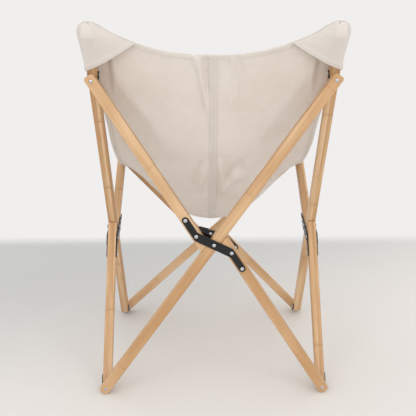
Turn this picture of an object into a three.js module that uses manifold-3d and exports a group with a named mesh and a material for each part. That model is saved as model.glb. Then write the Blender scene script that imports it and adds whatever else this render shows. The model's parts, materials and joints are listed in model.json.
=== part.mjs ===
// Folding sling lounge chair: two crossed frames, two crossed side frames and a canvas sling.
// Millimetres, +Z up. The sitter faces -Y and +X is the sitter's left. The feet stand on z = 0.
import * as THREE from 'three';
import { mergeVertices } from 'three/addons/utils/BufferGeometryUtils.js';
import Module from 'manifold-3d';

const wasm = await Module();
wasm.setup();

// Frame sizes
const halfWidth = 270.4; // centre plane to the middle of a side frame
const rearArm = 469.5; // rear cross, centre pivot to a corner rivet
const frontArm = 361; // front cross, centre pivot to a corner rivet
const sideRearArm = 412; // side frame, rear foot rivet to the crossing pivot
const sideFrontArm = 394; // side frame, front foot rivet to the crossing pivot
const crossOffset = 32.5; // side rivet to the middle of the crossed frame's bars
const rearCrossDrop = 9; // a rear cross rivet sits this far below its side rivet
const frontCrossDrop = 10; // the same at the front

// Bars
const barWidth = 24; // across the bar, in the plane of its frame
const barDepth = 22; // through the bar, along its rivets
const barEase = 1.1; // eased edges
const barClip = 4; // clipped corners of the outer ends
const frontCrossClip = 7; // the same on the front cross, which passes under the side bars
const barOverhang = 13; // bar past its corner rivet
const frontCrossOverhang = 9; // the same on the front cross
const tipLength = 118; // side bar past its top rivet, into the pocket
const halfBarOffset = 24; // the middle of a half bar passes the crossing pivot at this distance
const stopGap = 0.3; // seam between a half bar and the through bar that it stops against

// Plates and brackets
const seat = 0.3; // space between pieces that touch
const plateThickness = 2.2;
const plateRaise = 1.2; // the middle of a plate stands this much higher, to clear the through bar
const plateLegRadius = 8; // half the width of a plate's leg, and its round end
const plateMiddleHalf = 10.5; // half the width of a plate's middle
const plateLap = 0.8; // the middle laps a leg's edge by this much
const plateInnerRivet = 40; // from the crossing to a plate's inner rivet, along the half bar
const plateOuterRivet = 87; // and to its outer rivet
const shortInnerRivet = 28; // the same on a side frame's front half bar, where the plate's leg is short
const shortOuterRivet = 43;
const bossRadius = 6.5; // ring under the centre pivot's head
const bossHeight = 1;
const bracketThickness = 2.2;
const bracketRadius = 8; // round end of a bracket's leg
const bracketBend = 1; // inner radius of the bend

// Rivets
const headRadius = 4.5;
const headHeight = 2.6;
const shankRadius = 2.5;
const holeClearance = 0.3;

// Sling
const clothThickness = 2.4; // two layers of canvas, as at the hems
const clothRise = 15.9; // middle of the cloth above the middle of a bar that it lies on
const cornerRise = 13.9; // the same at the sling's corners, past the bars' tips
const bedding = 24; // the cloth lies level this far inside of a bar
const pocketReach = 18; // corner of the cloth past the bar's tip
const pocketWing = 22; // the pocket's side stands out this far from the middle of the side frame
const rearMouth = 20; // outer corner of the rear pocket's mouth, above the rivet
const frontMouth = 68; // the same on the front pocket
const frontOverlap = 58; // the side hem crosses the front bar this far below its rivet
const hemDraw = 5; // the side hem is drawn in from the middle of the side frame
const hemSag = 62; // drop of the side hem under a straight line
const topHemDrop = 70; // middle of the rear hem below its corners
const topHemForward = 48; // and in front of them
const frontHemDrop = 112; // the same for the front hem
const frontHemBack = 108;
const backEase = 130; // pull of the back on the seam's curve
const backDrop = 358;
const seatEase = 310; // pull of the seat on the seam's curve
const seatDrop = 258;
const foldHeight = 5; // height of the soft folds

// Shares of the sling's half width and length
const dishPower = 2.3; // how steeply the cloth rises to the side hems
const seatFullness = 1; // rises sooner from here on, and is flatter at the side hems
const fullShare = 0.45;
const troughShare = 0.15; // the troughs beside the seam
const troughSpreadShare = 0.07;
const troughLengthShare = 0.25;
const fanShare = 0.4; // the drag folds, from a corner
const fanSpreadShare = 0.14;
const fanFolds = 9;
const freeShare = 0.65; // the folds fade from here toward the side hems
const flatShare = 0.9; // and have gone here
const rearMouthShare = 0.64; // inner corner of a pocket's mouth, along the hem
const frontMouthShare = 0.8;
const pocketEndShare = 0.94; // the pocket closes just short of the corner
const pocketFlankShare = 0.25; // the pocket's outer flank, a share of its depth below the bar's middle
const pocketBendShare = 0.7; // and where its inner side leaves the bar
const hemShares = [0.25, 0.5, 0.75]; // points of the free side hem
const headShares = [[0, 1], [0.55, 0.86], [0.88, 0.45], [1, 0]]; // a rivet head's radius and height

// Angles in radians
const straightAngle = Math.PI;
const maxTilt = 0.2; // the widest tilt of the rear post that is tried

// Counts
const ringSteps = 10; // round rivets and holes
const endSteps = 6; // half round ends
const acrossSteps = 24; // sling facets from side to side
const alongSteps = 24; // and from the rear hem to the front hem
const pocketSteps = 8;
const bendSteps = 3; // a bracket's bend
const halvings = 50; // of a range that is searched

// Materials
const wood = new THREE.MeshStandardMaterial({ color: 0xcba073, roughness: 0.5, metalness: 0 });
const blackSteel = new THREE.MeshStandardMaterial({ color: 0x26262a, roughness: 0.45, metalness: 0.6 });
const brightSteel = new THREE.MeshStandardMaterial({ color: 0xc8c8cc, roughness: 0.3, metalness: 1 });
const canvas = new THREE.MeshStandardMaterial({ color: 0xe0d6cb, roughness: 0.9, metalness: 0 });

const group = new THREE.Group();
const frame = new THREE.Group();
group.add(frame);

function addPiece(name, geometry, material, origin, along, normal) {
  const mesh = new THREE.Mesh(geometry, material.clone());
  mesh.name = name;
  if (along) {
    const across = new THREE.Vector3().crossVectors(normal, along);
    mesh.quaternion.setFromRotationMatrix(new THREE.Matrix4().makeBasis(along, across, normal));
  }
  if (origin) mesh.position.copy(origin);
  frame.add(mesh);
}

// Joins and cuts
function solidOf(geometry) {
  const bare = new THREE.BufferGeometry();
  bare.setAttribute('position', geometry.getAttribute('position'));
  bare.setIndex(geometry.getIndex());
  const merged = mergeVertices(bare);
  const corners = merged.getIndex().array;
  const kept = [];
  for (let i = 0; i < corners.length; i += 3) {
    const [a, b, c] = corners.slice(i, i + 3);
    if (a !== b && b !== c && c !== a) kept.push(a, b, c);
  }
  const points = new Float32Array(merged.getAttribute('position').array);
  const build = (triangles) => new wasm.Manifold(
    new wasm.Mesh({ numProp: 3, vertProperties: points, triVerts: new Uint32Array(triangles) }));
  const solid = build(kept);
  return solid.volume() > 0 ? solid : build(kept.reverse());
}

function geometryOf(solid) {
  const mesh = solid.getMesh();
  const geometry = new THREE.BufferGeometry();
  geometry.setAttribute('position', new THREE.BufferAttribute(new Float32Array(mesh.vertProperties), 3));
  geometry.setIndex(new THREE.BufferAttribute(new Uint32Array(mesh.triVerts), 1));
  geometry.computeVertexNormals();
  return geometry;
}

function slab(shape, depth, lift) {
  const sizes = { depth, bevelEnabled: false, curveSegments: endSteps };
  return solidOf(new THREE.ExtrudeGeometry(shape, sizes).translate(0, 0, lift));
}

function disc(radius, low, high, place = new THREE.Vector2()) {
  const geometry = new THREE.CylinderGeometry(radius, radius, high - low, ringSteps).rotateX(straightAngle / 2);
  return solidOf(geometry.translate(place.x, place.y, (low + high) / 2));
}

// Rivets: a domed head, a shank and a second head
function domeProfile(base, way) {
  return headShares.map(([radiusShare, heightShare]) =>
    new THREE.Vector2(radiusShare * headRadius, base + way * heightShare * headHeight));
}

function rivetSolid(top, bottom, headBelow) {
  const shank = [new THREE.Vector2(shankRadius, top), new THREE.Vector2(shankRadius, bottom)];
  const end = headBelow ? domeProfile(bottom, -1).reverse() : [new THREE.Vector2(0, bottom)];
  const geometry = new THREE.LatheGeometry([...domeProfile(top, 1), ...shank, ...end], ringSteps);
  return solidOf(geometry.rotateX(straightAngle / 2));
}

function addRivet(name, place, way, top, bottom, headBelow) {
  const side = Math.abs(way.x) > 1 / 2 ? new THREE.Vector3(0, 0, 1) : new THREE.Vector3(1, 0, 0);
  addPiece(name, geometryOf(rivetSolid(top, bottom, headBelow)), brightSteel, place, side, way);
}

// Bars: an outline in the plane of the frame, drawn out through the bar's depth with eased edges
function clippedEnd(x, way, clip) {
  const half = barWidth / 2;
  const corners = [[x - way * clip, -half], [x, clip - half], [x, half - clip], [x - way * clip, half]];
  return way > 0 ? corners : corners.reverse();
}

function barGeometry(outline, holes) {
  const shape = new THREE.Shape(outline.map(([x, y]) => new THREE.Vector2(x, y)));
  const geometry = new THREE.ExtrudeGeometry(shape, {
    depth: barDepth - 2 * barEase, bevelSegments: 1,
    bevelThickness: barEase, bevelSize: barEase, bevelOffset: -barEase,
  });
  let bar = solidOf(geometry.translate(0, 0, barEase - barDepth / 2));
  for (const x of holes) {
    bar = bar.subtract(disc(shankRadius + holeClearance, -barDepth, barDepth, new THREE.Vector2(x, 0)));
  }
  return geometryOf(bar);
}

function addThroughBar(name, crossing, along, normal, low, high, clip, holes) {
  const outline = [...clippedEnd(high, 1, clip), ...clippedEnd(low, -1, clip)];
  addPiece(name, barGeometry(outline, holes), wood, crossing, along, normal);
}

// A half bar runs from a corner rivet to the side of the through bar, where its end is cut to lie against it.
// Its middle passes the crossing pivot on the side that offsetWay points to. Returns its two plate rivets,
// which are given by their distances from the crossing.
function addHalfBar(name, corner, crossing, offsetWay, normal, tail, clip, distances) {
  const line = crossing.clone().sub(corner);
  const arm = line.length();
  const side = -Math.sign(new THREE.Vector3().crossVectors(normal, line).dot(offsetWay));
  const along = line.normalize().applyAxisAngle(normal, -side * Math.asin(halfBarOffset / arm));
  const across = new THREE.Vector3().crossVectors(normal, along);
  const pivot = new THREE.Vector2(Math.sqrt(arm ** 2 - halfBarOffset ** 2), side * halfBarOffset);
  const facing = new THREE.Vector2(offsetWay.dot(across), -offsetWay.dot(along));
  if (facing.x < 0) facing.negate();
  const cutAt = (y) => pivot.x - (barWidth / 2 + stopGap + facing.y * (y - pivot.y)) / facing.x;
  const half = barWidth / 2;
  const outline = [...clippedEnd(-tail, -1, clip), [cutAt(-half), -half], [cutAt(half), half]];
  const rivets = distances.map((distance) => pivot.x - distance);
  addPiece(name, barGeometry(outline, [0, ...rivets]), wood, corner, along, normal);
  return rivets.map((x) => corner.clone().addScaledVector(along, x));
}

const longLeg = [plateInnerRivet, plateOuterRivet];
const shortLeg = [shortInnerRivet, shortOuterRivet];

// Cranked plates: two legs on the half bars and a raised middle over the through bar
function obround(from, to, radius) {
  const angle = Math.atan2(to.y - from.y, to.x - from.x);
  const shape = new THREE.Shape();
  shape.absarc(to.x, to.y, radius, angle - straightAngle / 2, angle + straightAngle / 2);
  shape.absarc(from.x, from.y, radius, angle + straightAngle / 2, angle + straightAngle * 3 / 2);
  return shape;
}

function meetingPoint(point, way, other, otherWay) {
  const between = other.clone().sub(point);
  const share = between.cross(otherWay) / way.cross(otherWay);
  return point.clone().addScaledVector(way, share);
}

function middleShape(legs) {
  const strip = legs[1].inner.clone().sub(legs[0].inner).normalize();
  const edge = new THREE.Vector2(-strip.y, strip.x);
  const ends = legs.map(({ inner, outer }, which) => {
    const way = outer.clone().sub(inner).normalize();
    const aside = new THREE.Vector2(-way.y, way.x);
    if (aside.dot(strip) * (which === 0 ? 1 : -1) > 0) aside.negate();
    const border = inner.clone().addScaledVector(aside, plateLegRadius);
    return [1, -1].map((sign) =>
      meetingPoint(inner.clone().addScaledVector(edge, sign * plateMiddleHalf), strip, border, way));
  });
  return new THREE.Shape([ends[0][0], ends[0][1], ends[1][1], ends[1][0]]);
}

function addPlate(name, crossing, along, normal, rivets) {
  const across = new THREE.Vector3().crossVectors(normal, along);
  const flat = (point) => {
    const reach = point.clone().sub(crossing);
    return new THREE.Vector2(reach.dot(along), reach.dot(across));
  };
  const legs = rivets.map(([inner, outer]) => ({ inner: flat(inner), outer: flat(outer) }));
  const raised = plateRaise + plateThickness;
  let plate = slab(middleShape(legs), plateThickness, plateRaise);
  for (const { inner, outer } of legs) {
    plate = plate.subtract(slab(obround(inner, outer, plateLegRadius - plateLap), raised, plateThickness));
  }
  plate = plate.add(disc(bossRadius, raised - plateRaise, raised + bossHeight));
  for (const { inner, outer } of legs) {
    plate = plate.add(slab(obround(inner, outer, plateLegRadius), plateThickness, 0));
    for (const place of [inner, outer]) {
      const fixed = rivetSolid(plateThickness, -(barDepth + seat) / 2, false);
      plate = plate.add(fixed.translate(place.x, place.y, 0));
    }
  }
  plate = plate.subtract(disc(shankRadius + holeClearance, -raised, 2 * raised + bossHeight));
  const face = crossing.clone().addScaledVector(normal, barDepth / 2 + seat);
  addPiece(name, geometryOf(plate), blackSteel, face, along, normal);
}

// The plates on both faces of a crossing, and the rivet that it turns on
function addCrossingHardware(prefix, crossing, along, normal, rivets) {
  addPlate(prefix + '_outer_plate', crossing, along, normal, rivets);
  addPlate(prefix + '_inner_plate', crossing, along, normal.clone().negate(), rivets);
  const head = barDepth / 2 + seat + plateRaise + plateThickness + bossHeight + seat;
  addRivet(prefix + '_pivot', crossing, normal, head, -head, true);
}

// Corner brackets: a bent strip, trimmed to a rounded leg on the cross and another on the side bar.
// In the piece's own axes x points to the cross, z up the post, and the cross rivet is at z = -drop.
function bracketGeometry(drop, lean) {
  const [near, far] = [barDepth / 2 + seat, barDepth / 2 + seat + bracketThickness];
  const [start, stop] = [crossOffset - far, crossOffset - near];
  const [innerBend, outerBend] = [bracketBend, bracketBend + bracketThickness];
  const [bendX, bendY] = [start - innerBend, near - innerBend];
  const height = drop + 2 * bracketRadius;
  const strip = new THREE.Shape();
  strip.moveTo(-bracketRadius, near);
  strip.lineTo(bendX, near);
  strip.absarc(bendX, bendY, innerBend, straightAngle / 2, 0, true);
  strip.lineTo(start, -bracketRadius);
  strip.lineTo(stop, -bracketRadius);
  strip.lineTo(stop, bendY);
  strip.absarc(bendX, bendY, outerBend, 0, straightAngle / 2);
  strip.lineTo(-bracketRadius, far);
  const bent = new THREE.ExtrudeGeometry(strip,
    { depth: height, bevelEnabled: false, curveSegments: bendSteps });
  let bracket = solidOf(bent.translate(0, 0, -drop - bracketRadius));

  const crossTab = new THREE.Shape();
  crossTab.moveTo(far, -drop - bracketRadius);
  crossTab.lineTo(far, bracketRadius);
  crossTab.lineTo(near - innerBend, bracketRadius);
  crossTab.absarc(0, -drop, bracketRadius, straightAngle / 2, straightAngle * 3 / 2);
  const crossTrim = new THREE.ExtrudeGeometry(crossTab,
    { depth: crossOffset + bracketRadius, bevelEnabled: false, curveSegments: endSteps });
  crossTrim.translate(0, 0, -bracketRadius).applyMatrix4(new THREE.Matrix4().makeBasis(
    new THREE.Vector3(0, 1, 0), new THREE.Vector3(0, 0, 1), new THREE.Vector3(1, 0, 0)));

  const sideTab = new THREE.Shape();
  sideTab.moveTo(stop, bracketRadius);
  sideTab.absarc(0, 0, bracketRadius, straightAngle / 2, straightAngle * 3 / 2);
  sideTab.lineTo(start - innerBend, -drop - bracketRadius);
  sideTab.lineTo(stop, -drop - bracketRadius);
  const sideTrim = new THREE.ExtrudeGeometry(sideTab,
    { depth: far + bracketRadius, bevelEnabled: false, curveSegments: endSteps });
  sideTrim.rotateX(straightAngle / 2).translate(0, far, 0);

  bracket = bracket.intersect(solidOf(crossTrim)).intersect(solidOf(sideTrim));
  const bore = shankRadius + holeClearance;
  const crossBore = new THREE.CylinderGeometry(bore, bore, 2 * bracketRadius, ringSteps);
  const sideBore = crossBore.clone();
  crossBore.rotateZ(straightAngle / 2).translate(start, 0, -drop);
  bracket = bracket.subtract(solidOf(crossBore)).subtract(solidOf(sideBore.translate(0, near, 0)));
  const geometry = geometryOf(bracket);
  return lean > 0 ? geometry : geometryOf(solidOf(geometry.scale(1, -1, 1)));
}

// Layout in a side plane: x is forward of the rear foot rivets and y is up
const place = (x, point) => new THREE.Vector3(x, -point.x, point.y);
const wayOf = (vector) => new THREE.Vector3(0, -vector.x, vector.y);

function footDrop(overhang, clip, arm, tilt) {
  const angle = Math.asin(halfWidth / arm);
  const corners = [[overhang, barWidth / 2 - clip], [overhang - clip, barWidth / 2]];
  const drops = [angle, angle - Math.asin(halfBarOffset / arm)].flatMap((lean) =>
    corners.map(([down, aside]) => down * Math.cos(lean) + aside * Math.sin(lean)));
  return Math.max(...drops) * Math.cos(tilt) + (barDepth / 2 - barEase) * Math.sin(tilt);
}

function pointBetween(from, to, nearArm, farArm) {
  const line = to.clone().sub(from);
  const span = line.length();
  const cosine = (nearArm ** 2 + span ** 2 - farArm ** 2) / (2 * nearArm * span);
  return from.clone().add(line.setLength(nearArm).rotateAround(new THREE.Vector2(), -Math.acos(cosine)));
}

// In a side frame, from the crossing pivot to the top rivets
const rearUpperArm = 2 * rearArm - sideRearArm;
const frontUpperArm = 2 * frontArm - sideFrontArm;

// The side frame is laid out on an upright rear post, then turned back about the rear foot by a tilt
function layOut(tilt) {
  const rearSpan = 2 * Math.sqrt(rearArm ** 2 - halfWidth ** 2);
  const frontSpan = 2 * Math.sqrt(frontArm ** 2 - halfWidth ** 2);
  const turned = (point) => point.rotateAround(new THREE.Vector2(), tilt);
  const rearFoot = new THREE.Vector2();
  const rearTop = turned(new THREE.Vector2(0, rearSpan));
  const crossing = pointBetween(rearFoot, rearTop, sideRearArm, rearUpperArm);
  const frontFoot = crossing.clone().add(crossing.clone().sub(rearTop).setLength(sideFrontArm));
  const frontTop = pointBetween(frontFoot, crossing, frontSpan, frontUpperArm);
  const rearPost = rearTop.clone().normalize();
  const frontPost = frontTop.clone().sub(frontFoot).normalize();
  const rearOut = new THREE.Vector2(-rearPost.y, rearPost.x);
  const frontOut = new THREE.Vector2(frontPost.y, -frontPost.x);
  const lowest = (foot, post, out, drop, arm, overhang, clip) => foot.y + out.y * crossOffset - post.y * drop
    - footDrop(overhang, clip, arm, Math.acos(post.y));
  const rearFloor = lowest(rearFoot, rearPost, rearOut, rearCrossDrop, rearArm, barOverhang, barClip);
  const frontFloor = lowest(frontFoot, frontPost, frontOut, frontCrossDrop, frontArm, frontCrossOverhang,
    frontCrossClip);
  for (const point of [rearFoot, rearTop, crossing, frontFoot, frontTop]) point.y -= rearFloor;
  return {
    rearFoot, rearTop, crossing, frontFoot, frontTop, rearPost, frontPost, rearOut, frontOut,
    frontGap: frontFloor - rearFloor,
  };
}

// The tilt at which the front feet stand on the floor with the rear feet
function levelTilt() {
  let [low, high] = [-maxTilt, maxTilt];
  for (let pass = 0; pass < halvings; pass += 1) {
    const middle = (low + high) / 2;
    if (layOut(middle).frontGap > 0) high = middle;
    else low = middle;
  }
  return low;
}

const {
  rearFoot, rearTop, crossing: sideCrossing, frontFoot, frontTop, rearPost, frontPost, rearOut, frontOut,
} = layOut(levelTilt());

// Crossed frames. The through bar runs from the right top to the left foot.
function addCross(prefix, foot, top, post, out, drop, arm, overhang, clip) {
  const shift = out.clone().multiplyScalar(crossOffset).addScaledVector(post, -drop);
  const [low, high] = [foot.clone().add(shift), top.clone().add(shift)];
  const corners = {
    leftFoot: place(halfWidth, low), rightFoot: place(-halfWidth, low),
    leftTop: place(halfWidth, high), rightTop: place(-halfWidth, high),
  };
  const crossing = place(0, low.clone().add(high).divideScalar(2));
  const normal = wayOf(out);
  const along = corners.rightTop.clone().sub(corners.leftFoot).normalize();
  const end = arm + overhang;
  addThroughBar(prefix + '_through_bar', crossing, along, normal, -end, end, clip, [-arm, 0, arm]);
  const back = along.clone().negate();
  const rivets = [
    addHalfBar(prefix + '_upper_bar', corners.leftTop, crossing, back, normal, overhang, clip, longLeg),
    addHalfBar(prefix + '_lower_bar', corners.rightFoot, crossing, along, normal, overhang, clip, longLeg),
  ];
  addCrossingHardware(prefix, crossing, along, normal, rivets);
}

addCross('rear_cross', rearFoot, rearTop, rearPost, rearOut, rearCrossDrop, rearArm, barOverhang, barClip);
addCross('front_cross', frontFoot, frontTop, frontPost, frontOut, frontCrossDrop, frontArm,
  frontCrossOverhang, frontCrossClip);

// Side frames. The through bar runs from the front foot to the rear top and on into the pocket.
const sides = [{ name: 'left', out: 1 }, { name: 'right', out: -1 }];

function addSide({ name, out }) {
  const prefix = name + '_side';
  const x = out * halfWidth;
  const normal = new THREE.Vector3(out, 0, 0);
  const crossing = place(x, sideCrossing);
  const along = wayOf(rearTop.clone().sub(frontFoot)).normalize();
  addThroughBar(prefix + '_through_bar', crossing, along, normal, -sideFrontArm - barOverhang,
    rearUpperArm + tipLength, barClip, [-sideFrontArm, 0, rearUpperArm]);
  const rivets = [
    addHalfBar(prefix + '_rear_bar', place(x, rearFoot), crossing, along, normal, barOverhang, barClip,
      longLeg),
    addHalfBar(prefix + '_front_bar', place(x, frontTop), crossing, along.clone().negate(), normal,
      tipLength, barClip, shortLeg),
  ];
  addCrossingHardware(prefix, crossing, along, normal, rivets);
}

// Corners: a bracket, a rivet through the cross and a rivet through the side bar. Where a corner's rivet is
// parted, its head and shank stay in the bar and its tail stays in the bracket, and the faces slide.
const corners = [
  { name: 'rear_foot', point: rearFoot, post: rearPost, out: rearOut, drop: rearCrossDrop, lean: 1,
    parted: '' },
  { name: 'rear_top', point: rearTop, post: rearPost, out: rearOut, drop: rearCrossDrop, lean: -1,
    parted: 'side' },
  { name: 'front_foot', point: frontFoot, post: frontPost, out: frontOut, drop: frontCrossDrop, lean: -1,
    parted: 'cross' },
  { name: 'front_top', point: frontTop, post: frontPost, out: frontOut, drop: frontCrossDrop, lean: -1,
    parted: 'left cross' },
];

function addCornerRivet(name, point, way, parted) {
  const [head, tail] = [barDepth / 2 + seat, barDepth / 2 + seat + bracketThickness + seat];
  if (parted) {
    addRivet(name + '_rivet', point, way, head, -barDepth / 2, false);
    addRivet(name + '_rivet_tail', point, way.clone().negate(), tail, head, false);
  } else {
    addRivet(name + '_rivet', point, way, head, -tail, true);
  }
}

function addCorner(side, corner) {
  const prefix = side.name + '_' + corner.name;
  const [post, out] = [wayOf(corner.post), wayOf(corner.out)];
  const sidePoint = place(side.out * halfWidth, corner.point);
  const crossPoint = sidePoint.clone().addScaledVector(out, crossOffset).addScaledVector(post, -corner.drop);
  const outward = new THREE.Vector3(side.out, 0, 0);
  const lean = corner.lean * Math.sign(new THREE.Vector3().crossVectors(post, out).dot(outward));
  addPiece(prefix + '_bracket', bracketGeometry(corner.drop, lean), blackSteel, sidePoint, out, post);
  const partedCross = corner.parted === 'cross' || corner.parted === side.name + ' cross';
  addCornerRivet(prefix + '_cross', crossPoint, out, partedCross);
  outward.multiplyScalar(-corner.lean);
  addCornerRivet(prefix + '_side', sidePoint, outward, corner.parted === 'side');
}

for (const side of sides) {
  addSide(side);
  for (const corner of corners) addCorner(side, corner);
}

// Sling. A point of a bar's own plane is given by its distance along the bar from its top rivet, and its rise
// above the bar's middle.
function barAxes(top, along) {
  const rise = new THREE.Vector2(-along.y, along.x);
  if (rise.y < 0) rise.negate();
  return {
    at: (distance, height) => top.clone().addScaledVector(along, distance).addScaledVector(rise, height),
    along: (point) => point.clone().sub(top).dot(along),
    rise: (point) => point.clone().sub(top).dot(rise),
  };
}

function halfBarWay(corner, crossing, arm) {
  const line = corner.clone().sub(crossing).normalize();
  return line.rotateAround(new THREE.Vector2(), Math.asin(halfBarOffset / arm));
}

const rearBar = barAxes(rearTop, rearTop.clone().sub(frontFoot).normalize());
const frontBar = barAxes(frontTop, halfBarWay(frontTop, sideCrossing, frontUpperArm));
const cornerAlong = tipLength + pocketReach;

function hemPoint(x, point) {
  return new THREE.Vector3(x, point.x, point.y);
}

function sideHem() {
  const [rearEnd, frontEnd] = [rearBar.at(rearMouth, clothRise), frontBar.at(-frontOverlap, clothRise)];
  const points = [
    hemPoint(halfWidth - headHeight, rearBar.at(cornerAlong, cornerRise)),
    hemPoint(halfWidth + pocketWing, rearBar.at(tipLength - barEase, clothRise)),
    hemPoint(halfWidth + pocketWing, rearBar.at((tipLength + rearMouth) / 2, clothRise)),
    hemPoint(halfWidth + pocketWing - hemDraw, rearEnd),
  ];
  for (const share of hemShares) {
    const point = rearEnd.clone().lerp(frontEnd, share);
    point.y -= hemSag * 4 * share * (1 - share);
    points.push(hemPoint(halfWidth - hemDraw, point));
  }
  points.push(
    hemPoint(halfWidth, frontEnd),
    hemPoint(halfWidth + pocketWing, frontBar.at(0, clothRise)),
    hemPoint(halfWidth + pocketWing, frontBar.at(tipLength - barEase, clothRise)),
    hemPoint(halfWidth - headHeight, frontBar.at(cornerAlong, cornerRise)));
  return new THREE.CatmullRomCurve3(points, false, 'centripetal');
}

const hem = sideHem();
const [rearCorner, frontCorner] = [hem.getPoint(0), hem.getPoint(1)];
const rearMiddle = new THREE.Vector3(0, rearCorner.y + topHemForward, rearCorner.z - topHemDrop);
const frontMiddle = new THREE.Vector3(0, frontCorner.y - frontHemBack, frontCorner.z - frontHemDrop);
const seam = new THREE.CubicBezierCurve3(rearMiddle,
  new THREE.Vector3(0, rearMiddle.y + backEase, rearMiddle.z - backDrop),
  new THREE.Vector3(0, frontMiddle.y - seatEase, frontMiddle.z - seatDrop), frontMiddle);

function smooth(low, high, value) {
  return THREE.MathUtils.smoothstep(value, low, high);
}

// Cloth lies on a bar: near the side frame a point is raised to the top of the bar
function liedOn(bar, point, flat) {
  const distance = bar.along(flat);
  const pastTip = THREE.MathUtils.clamp((distance - tipLength) / pocketReach, 0, 1);
  const inside = Math.max(0, halfWidth - barDepth / 2 - bedding - Math.abs(point.x));
  const missing = clothRise + (cornerRise - clothRise) * pastTip - inside - bar.rise(flat);
  if (missing <= 0) return flat;
  return bar.at(distance, bar.rise(flat) + missing);
}

function slingPoint(across, along) {
  const edge = hem.getPointAt(along);
  const side = Math.abs(across);
  const fullness = seatFullness * smooth(0, fullShare, along);
  const lift = side ** dishPower * (1 + fullness * (1 - side ** 2));
  const point = seam.getPointAt(along).lerp(edge, lift);
  point.x = across * edge.x;
  const flat = liedOn(along < 1 / 2 ? rearBar : frontBar, point, new THREE.Vector2(point.y, point.z));
  return new THREE.Vector3(point.x, flat.x, flat.y);
}

// Soft folds: two troughs beside the seam under the rear hem, and drag folds that fan out of the corners
function foldOf(across, along) {
  const trough = Math.exp(-(((Math.abs(across) - troughShare) / troughSpreadShare) ** 2));
  const beside = -trough * Math.exp(-((along / troughLengthShare) ** 2));
  const fromCorner = [Math.abs(across) - 1, Math.min(along, 1 - along) * 2];
  const reach = Math.hypot(...fromCorner);
  const angle = Math.atan2(fromCorner[1], -fromCorner[0]);
  const fan = Math.sin(angle * fanFolds) * Math.exp(-(((reach - fanShare) / fanSpreadShare) ** 2));
  return foldHeight * (beside + fan) * (1 - smooth(freeShare, flatShare, Math.abs(across)));
}

// A closed sheet: rows of points, thickened to both sides
function sheetGeometry(rows, thickness, fold = () => 0) {
  const [high, wide] = [rows.length, rows[0].length];
  const at = (i, j) => rows[THREE.MathUtils.clamp(i, 0, high - 1)][THREE.MathUtils.clamp(j, 0, wide - 1)];
  const points = [];
  for (const side of [1, -1]) {
    for (let i = 0; i < high; i += 1) {
      for (let j = 0; j < wide; j += 1) {
        const down = at(i + 1, j).clone().sub(at(i - 1, j));
        const normal = at(i, j + 1).clone().sub(at(i, j - 1)).cross(down).normalize();
        const shift = fold(i / (high - 1), j / (wide - 1)) + side * thickness / 2;
        points.push(...at(i, j).clone().addScaledVector(normal, shift).toArray());
      }
    }
  }
  const faces = [];
  const lower = high * wide;
  const quad = (a, b, c, d) => faces.push(a, b, c, a, c, d);
  for (let i = 0; i + 1 < high; i += 1) {
    for (let j = 0; j + 1 < wide; j += 1) {
      const a = i * wide + j;
      quad(a, a + 1, a + wide + 1, a + wide);
      quad(lower + a, lower + a + wide, lower + a + wide + 1, lower + a + 1);
    }
  }
  for (let j = 0; j + 1 < wide; j += 1) {
    const last = (high - 1) * wide + j;
    quad(j, lower + j, lower + j + 1, j + 1);
    quad(last, last + 1, lower + last + 1, lower + last);
  }
  for (let i = 0; i + 1 < high; i += 1) {
    const [a, b] = [i * wide, (i + 1) * wide - 1];
    quad(a, a + wide, lower + a + wide, lower + a);
    quad(b, lower + b, lower + b + wide, b + wide);
  }
  const geometry = new THREE.BufferGeometry();
  geometry.setAttribute('position', new THREE.Float32BufferAttribute(points, 3));
  geometry.setIndex(faces);
  return geometryOf(solidOf(geometry));
}

const steps = (count) => Array.from({ length: count + 1 }, (_, i) => i / count);
const toPart = (point) => new THREE.Vector3(point.x, -point.y, point.z);
const slingRows = steps(alongSteps).map((along) =>
  steps(acrossSteps).map((share) => slingPoint(2 * share - 1, along)));
addPiece('sling', sheetGeometry(slingRows.map((row) => row.map(toPart)), clothThickness,
  (along, share) => foldOf(2 * share - 1, along)), canvas);

// Pockets: a patch under each corner, from the mouth to the corner, that passes round the bar.
// Its sides follow the sling's own facets.
function onEdge(points, share) {
  const place = THREE.MathUtils.clamp(share, 0, 1) * (points.length - 1);
  const index = Math.min(Math.floor(place), points.length - 2);
  return points[index].clone().lerp(points[index + 1], place - index);
}

function shareAt(points, bar, distance) {
  let [near, far] = [0, 1 / 2];
  for (let pass = 0; pass < halvings; pass += 1) {
    const middle = (near + far) / 2;
    const point = onEdge(points, middle);
    if (bar.along(new THREE.Vector2(point.y, point.z)) > distance) near = middle;
    else far = middle;
  }
  return near;
}

function pocketRow(bar, outer, inner) {
  const read = (point) => {
    const flat = new THREE.Vector2(point.y, point.z);
    return { x: point.x, along: bar.along(flat), rise: bar.rise(flat) - clothThickness - seat };
  };
  const [from, to] = [read(outer), read(inner)];
  const under = -(barWidth / 2 + seat + clothThickness);
  const [barOut, barIn] = [halfWidth + barDepth / 2, halfWidth - barDepth / 2];
  const section = [
    [from.x, from.rise], [barOut + 2 * clothThickness, under * pocketFlankShare], [barOut + clothThickness, under],
    [barIn - clothThickness, under], [barIn - 3 * clothThickness, under * pocketBendShare],
    [(barIn + to.x) / 2 - clothThickness, (under + to.rise) / 2], [to.x, to.rise],
  ];
  return section.map(([x, rise], i) => {
    const share = i / (section.length - 1);
    const free = cornerAlong - tipLength - 2 * clothThickness;
    const reachAt = (across) => to.along + (from.along - to.along) * (across - to.x) / (from.x - to.x);
    const full = THREE.MathUtils.clamp((cornerAlong - reachAt(x)) / free, 0, 1);
    const evenX = from.x + (to.x - from.x) * share;
    const evenRise = from.rise + (to.rise - from.rise) * share;
    const across = evenX + (x - evenX) * full;
    const flat = bar.at(reachAt(across), evenRise + (rise - evenRise) * full);
    return new THREE.Vector3(across, flat.x, flat.y);
  });
}

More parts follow.
